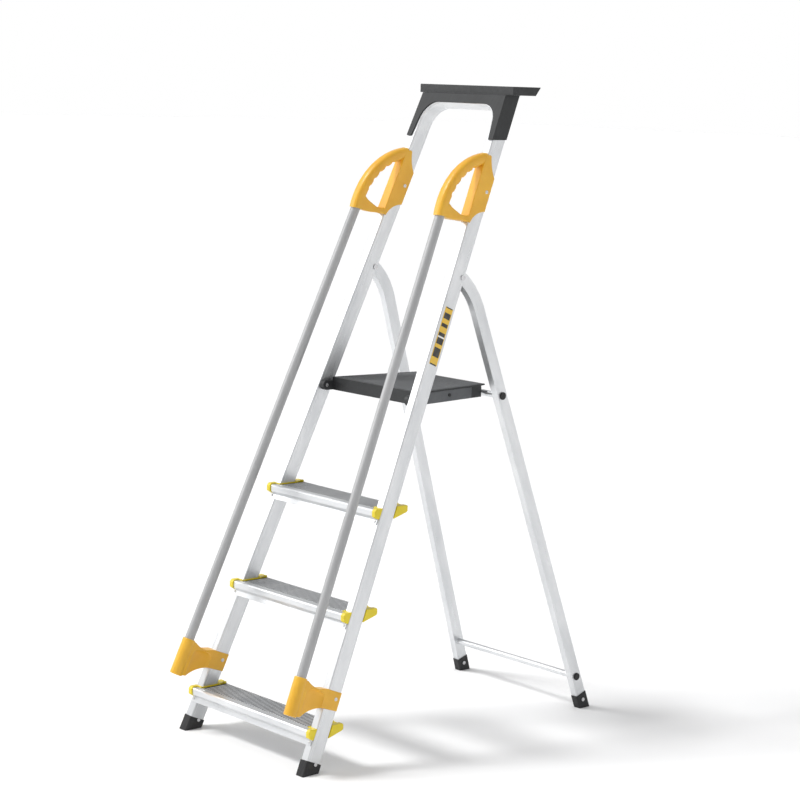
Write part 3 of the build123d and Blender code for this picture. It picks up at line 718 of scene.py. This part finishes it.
rings = []
grip_half_width = GRIP_WIDTH / 2
for k, point in enumerate(line_points):
    outward = (Vector(point) - centre).normalized()
    share = k / (len(line_points) - 1)
    bite = groove_depth(share, grip_length)
    rings.append(grip_ring(Vector(point), outward, grip_half_width - bite, grip_half_width, GRIP_HALF))
last = Vector(line_points[-1])
onward = Vector((outward.y, -outward.x))
for step, share in ((5, 0.98), (9, 0.92), (11.5, 0.8)):
    reach = grip_half_width * share
    rings.append(grip_ring(last + onward * step, outward, reach, reach, GRIP_HALF * share))
bridge_outline = [(-90, 1284.5), (-74, 1284.5), (-55, 1287), (-40, 1290.5), (-25, 1295.5), (-6, 1300),
                  (6, 1304), (6, 1322), (-2, 1318), (-14, 1311.5), (-30, 1309), (-48, 1311.5), (-62, 1314),
                  (-72, 1318), (-86, 1308)]
saddle_outline = ([(-6, 1464), (-6, 1303), (4, 1301)] + arc_points((4, 1301), (16, 1326), (39.5, 1342), 8)[1:]
                  + arc_points((39.5, 1424), (21, 1446), (11, 1468), 8) + [(6, 1469)])
for side, flip in SIDES:
    for piece, shape in (("grip", swept(rings)),
                         ("bridge", plate(scaled(bridge_outline), [], HALF_HANDLE - 0.3 * MM, 4 * MM, 5)),
                         ("saddle", plate(scaled(saddle_outline), [], HALF_HANDLE, 1.6 * MM, 3))):
        add(side + "_handle_" + piece, shape, "front_frame", "amber", [side + "_handle"],
            flip @ stile @ SIDE)

# ---- clamps at the rails' lower ends ----
SLEEVE = [(15, 119.5), (15, 201.5), (14.3, 203.3), (12.8, 204), (11.1, 204), (11.1, 118), (12.6, 117),
          (14.2, 117.6)]
arm_outline = ([(-80, 201), (-66, 201)] + arc_points((-66, 201), (-48, 194), (-30, 192), 10)[1:]
               + [(-8, 198), (39.5, 199), (39.5, 157), (-8, 154)]
               + arc_points((-8, 154), (-34, 141), (-58, 121), 10)[1:] + [(-80, 119)])
# a hollow down each cheek of the arm
FLUTE = [(0, 90), (28, 90), (28, 177), (26, 182), (20, 186.5), (10, 188.5), (0, 189)]
SCOOP = [(0, -12), (4, -11.6), (8, -9), (9.3, -4), (9.3, 20), (0, 20)]
BORE = [(0, 100), (10.9, 100), (10.9, 230), (0, 230)]
for side, flip in SIDES:
    sleeve = lathe(scaled(SLEEVE), 56)
    sleeve.transform(Matrix.Translation((0, RAIL_DEPTH, 0)))
    add(side + "_clamp_sleeve", sleeve, "front_frame", "amber", [side + "_clamp"],
        flip @ stile)
    arm = plate(scaled(arm_outline), [], HALF_HANDLE, 2.2 * MM, 4)
    arm.transform(SIDE)
    finish_mesh(arm)
    scoop = lathe(SCOOP)
    scoop.transform(Matrix.Translation((0, -43 * MM, 197 * MM))
                    @ Matrix.Diagonal((0.75 * MM, 1.7 * MM, MM, 1)))
    bore = lathe(scaled(BORE))
    bore.transform(Matrix.Translation((0, RAIL_DEPTH, 0)))
    flutes = []
    for hand in (-1, 1):
        flute = lathe(FLUTE, 48)
        flute.transform(Matrix.Translation((hand * 14.2 * MM, -37 * MM, 0))
                        @ Matrix.Diagonal((0.3 * MM, MM, MM, 1)))
        flutes.append(flute)
    arm = carved(arm, scoop, bore, *flutes)
    add(side + "_clamp_arm", arm, "front_frame", "amber", [side + "_clamp"], flip @ stile)

# ---- screws and foot rivets: a domed head with a round recess, on each side ----
screw = lathe([(0, 0.45), (1.5, 0.45), (1.6, 1.3), (2.6, 1.5), (3.9, 1.1), (4.4, 0.3), (4.4, -0.1),
               (0, -0.1)], 36)
screw.transform(Matrix.Scale(MM, 4))
for name, depth, rise, reach, node in (
        ("handle", 27, 1386, 13.5, "handle_screws"), ("clamp", 26, 182, 13.5, "clamp_screws"),
        ("front_foot", 24, 33, 13, "front_foot_rivets")):
    heads = []
    for turn, hand in ((90, 1), (-90, -1)):
        head = screw.copy()
        head.transform(stile @ Matrix.Translation((hand * reach * MM, depth * MM, rise * MM))
                       @ Matrix.Rotation(radians(turn), 4, "Y"))
        heads.append(head)
    add(name + "_screw_heads", both_sides(joined(heads)), "front_frame", "steel", [node])

# ---- CAD solids with their rims rounded ----
ROUNDED = [
    ("front_frame", "rubber", "black_rubber", 1.6, ("left_front_foot", "right_front_foot")),
    ("front_frame", "dark", "dark_plastic", 2.0, ("tool_tray",)),
    ("rear_frame", "rubber", "black_rubber", 1.6, ("left_rear_foot", "right_rear_foot")),
    ("platform", "grey", "grey_plastic", 0.6, ("left_side_plate", "right_side_plate")),
    ("platform", "dark", "dark_plastic", 1.2, ("left_bar_hook", "right_bar_hook")),
]
for body, material, slot, width, nodes in ROUNDED:
    for node in nodes:
        add(node + "_shell", rounded(from_cad(node), width * MM, 3), body, material, [node])

# ---- rear legs: the CAD tubes with a groove down the front face ----
GROOVE_HALF, GROOVE_LOW, GROOVE_HIGH = 3.8 * MM, 60 * MM, 985 * MM
FACE = Matrix(((1, 0, 0, 0), (0, 0, 1, 0), (0, 1, 0, 0), (0, 0, 0, 1)))


def leg_place(side):
    """The straight part of a rear leg: third axis up its centre line from the sole."""
    mount = {m["name"]: m for m in frame["record"]["mounts"]}[side + "_rear_sole"]
    hand = 1 if side == "right" else -1
    return (Matrix.Translation(mount["pos_m"]) @ Matrix.Rotation(-hand * LEG_SPLAY, 4, "Y")
            @ Matrix.Rotation(LEG_LEAN, 4, "X"))


groove_outline = corner([(-GROOVE_HALF, GROOVE_LOW), (GROOVE_HALF, GROOVE_LOW), (GROOVE_HALF, GROOVE_HIGH),
                         (-GROOVE_HALF, GROOVE_HIGH)], [3.6 * MM] * 4)
for side in ("left", "right"):
    leg = rounded(from_cad(side + "_rear_leg", radians(0.5)), 2.2 * MM, 3, radians(60))
    groove = plate(groove_outline, [], 0.7 * MM, 0.01 * MM, 1)
    groove.transform(leg_place(side) @ Matrix.Translation((0, -15 * MM, 0)) @ FACE)
    leg = carved(leg, groove)
    add(side + "_rear_leg_tube", leg, "rear_frame", side + "_leg", [side + "_rear_leg"])

# ---- CAD solids that keep their shape and get a finish ----
KEPT = {
    "left_handrail": "left_rail", "right_handrail": "right_rail", "pivot_rivets": "steel",
    "platform_pins": "steel", "pivot_bushes": "dark", "rear_foot_rivets": "steel", "lower_crossbar": "across",
    "upper_crossbar": "across", "lower_crossbar_plugs": "rubber", "upper_crossbar_plugs": "rubber",
    "side_plate_screws": "rubber",
}
for node, material in KEPT.items():
    for mesh_slot in frame["nodes"][node].material_slots:
        mesh_slot.material = MATERIALS[material]

# ---- platform deck ----
deck_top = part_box("platform_deck")[1][2]
DECK_FRONT = 374 * MM
DECK_REAR = 617 * MM


def deck_half_at(y):
    """Half the deck's width, which narrows from 300 mm at the front to 240 mm at the rear."""
    share = (y - DECK_FRONT) / (DECK_REAR - DECK_FRONT)
    return (150 - 30 * share) * MM


add("deck_body", rounded(from_cad("platform_deck"), 1.0 * MM, 3), "platform", "dark", ["platform_deck"])
RIB_PITCH = 7.3 * MM
RIM = 7 * MM
RIB_FOOT, RIB_CROWN = 1.3 * MM, 0.8 * MM
SUNK = -0.3 * MM                # the ribs and the rim start a little inside the deck
ribs = []
for k in range(int((DECK_REAR - DECK_FRONT - 2 * RIM) / RIB_PITCH)):
    y = DECK_FRONT + RIM + (k + 0.5) * RIB_PITCH
    reach = deck_half_at(y) - RIM
    crown_reach = reach - 0.6 * MM
    foot = level(-reach, y - RIB_FOOT, reach, y + RIB_FOOT, SUNK)
    crown = level(-crown_reach, y - RIB_CROWN, crown_reach, y + RIB_CROWN, 0.9 * MM)
    ribs.append(from_faces(foot + crown, BOX_FACES))
# a low rim frames the ribs
rim_front, rim_rear = DECK_FRONT + 2 * MM, DECK_REAR - 3 * MM
for hand in (1, -1):
    corners = ((rim_front, 4 * MM), (rim_rear, 4 * MM), (rim_rear, 1.5 * MM), (rim_front, 1.5 * MM))
    vertices = [(hand * (deck_half_at(y) - inset), y, z) for z in (SUNK, 0.7 * MM) for y, inset in corners]
    ribs.append(from_faces(vertices, BOX_FACES))
add("deck_ribs", joined(ribs), "platform", "grey", ["platform_deck"],
    base @ Matrix.Translation((0, 0, deck_top)))

# ---- striped label on the right stile ----
LABEL_LOW, LABEL_HIGH = 962 * MM, 1100 * MM
LABEL_FRONT, LABEL_BACK = 9 * MM, 33 * MM
label_outline = [(LABEL_FRONT, LABEL_LOW), (LABEL_BACK, LABEL_LOW), (LABEL_BACK, LABEL_HIGH),
                 (LABEL_FRONT, LABEL_HIGH)]
label_shape = plate(corner(label_outline, [1.5 * MM] * 4), [], 0.2 * MM, 0.05 * MM, 1)
while label_shape.uv_layers:
    label_shape.uv_layers.remove(label_shape.uv_layers[0])
layer = label_shape.uv_layers.new(name="film")
layer.active_render = True
for face_loop in label_shape.loops:
    place_2d = label_shape.vertices[face_loop.vertex_index].co
    layer.data[face_loop.index].uv = ((place_2d.y - LABEL_LOW) / (LABEL_HIGH - LABEL_LOW),
                                      (place_2d.x - LABEL_FRONT) / (LABEL_BACK - LABEL_FRONT))
add("stile_stripes", label_shape, "front_frame", "label", ["stile_label"],
    stile @ Matrix.Translation((STILE_WIDTH / 2 + 0.2 * MM, 0, 0)) @ SIDE)

# ---- stage, light and camera ----
FLOOR = 60
floor_mesh = from_faces(level(-FLOOR, -FLOOR, FLOOR, FLOOR, 0), [(0, 1, 2, 3)])
floor = bpy.data.objects.new("floor", floor_mesh)
floor_finish = Finish("floor_paper", Roughness=0.6)
floor_finish.shader.inputs["Base Color"].default_value = (0.97, 0.97, 0.97, 1)
floor_mesh.materials.append(floor_finish.material)
bpy.context.scene.collection.objects.link(floor)


def area_light(name, position, target, size, power):
    """A round light at a position, facing a target."""
    data = bpy.data.lights.new(name, "AREA")
    data.shape = "DISK"
    data.size = size
    data.energy = power
    lamp = bpy.data.objects.new(name, data)
    aim = (Vector(target) - Vector(position)).normalized()
    lamp.matrix_world = Matrix.Translation(position) @ aim.to_track_quat("-Z", "Y").to_matrix().to_4x4()
    bpy.context.scene.collection.objects.link(lamp)


area_light("softbox", (-2.7, -2.3, 2.3), (0, 0, 0.8), 2.2, 34)

sun_data = bpy.data.lights.new("sun", "SUN")
sun_data.energy = 1.9
sun_data.angle = radians(14)
sun = bpy.data.objects.new("sun", sun_data)
sun.matrix_world = Vector((0.45, 0.55, -1.0)).to_track_quat("-Z", "Y").to_matrix().to_4x4()
bpy.context.scene.collection.objects.link(sun)

# white around the horizon, softer light from above
world = bpy.data.worlds.new("studio")
world.use_nodes = True
sky_nodes = world.node_tree.nodes
sky_links = world.node_tree.links
sky_place = sky_nodes.new("ShaderNodeTexCoord")
sky_split = sky_nodes.new("ShaderNodeSeparateXYZ")
sky_ramp = sky_nodes.new("ShaderNodeValToRGB")
sky_ramp.color_ramp.elements[0].position = 0.06
sky_ramp.color_ramp.elements[0].color = (1, 1, 1, 1)
sky_ramp.color_ramp.elements[1].position = 0.22
sky_ramp.color_ramp.elements[1].color = (0.60, 0.60, 0.605, 1)
sky_links.new(sky_place.outputs["Generated"], sky_split.inputs[0])
sky_links.new(sky_split.outputs["Z"], sky_ramp.inputs["Fac"])
sky_links.new(sky_ramp.outputs["Color"], sky_nodes["Background"].inputs["Color"])
sky_nodes["Background"].inputs["Strength"].default_value = 1.0
bpy.context.scene.world = world
bpy.context.scene.view_settings.view_transform = "Standard"

camera_data = bpy.data.cameras.new("camera")
camera_data.sensor_width = 36
camera_data.lens = 97.73
camera_data.clip_end = 200
camera = bpy.data.objects.new("camera", camera_data)
YAW, PITCH, ROLL = radians(47.41), radians(8.33), radians(-1.88)
CAMERA_SPOT = (3.71407, -2.95721, 1.50833)      # metres from the middle of the foot line
forward = Vector((-sin(YAW) * cos(PITCH), cos(YAW) * cos(PITCH), -sin(PITCH)))
level = Vector((cos(YAW), sin(YAW), 0))
down = forward.cross(level)
across = level * cos(ROLL) + down * sin(ROLL)
upright = level * sin(ROLL) - down * cos(ROLL)
rotation = Matrix((across, upright, -forward)).transposed().to_4x4()
camera.matrix_world = base @ Matrix.Translation(CAMERA_SPOT) @ rotation
bpy.context.scene.collection.objects.link(camera)
bpy.context.scene.camera = camera
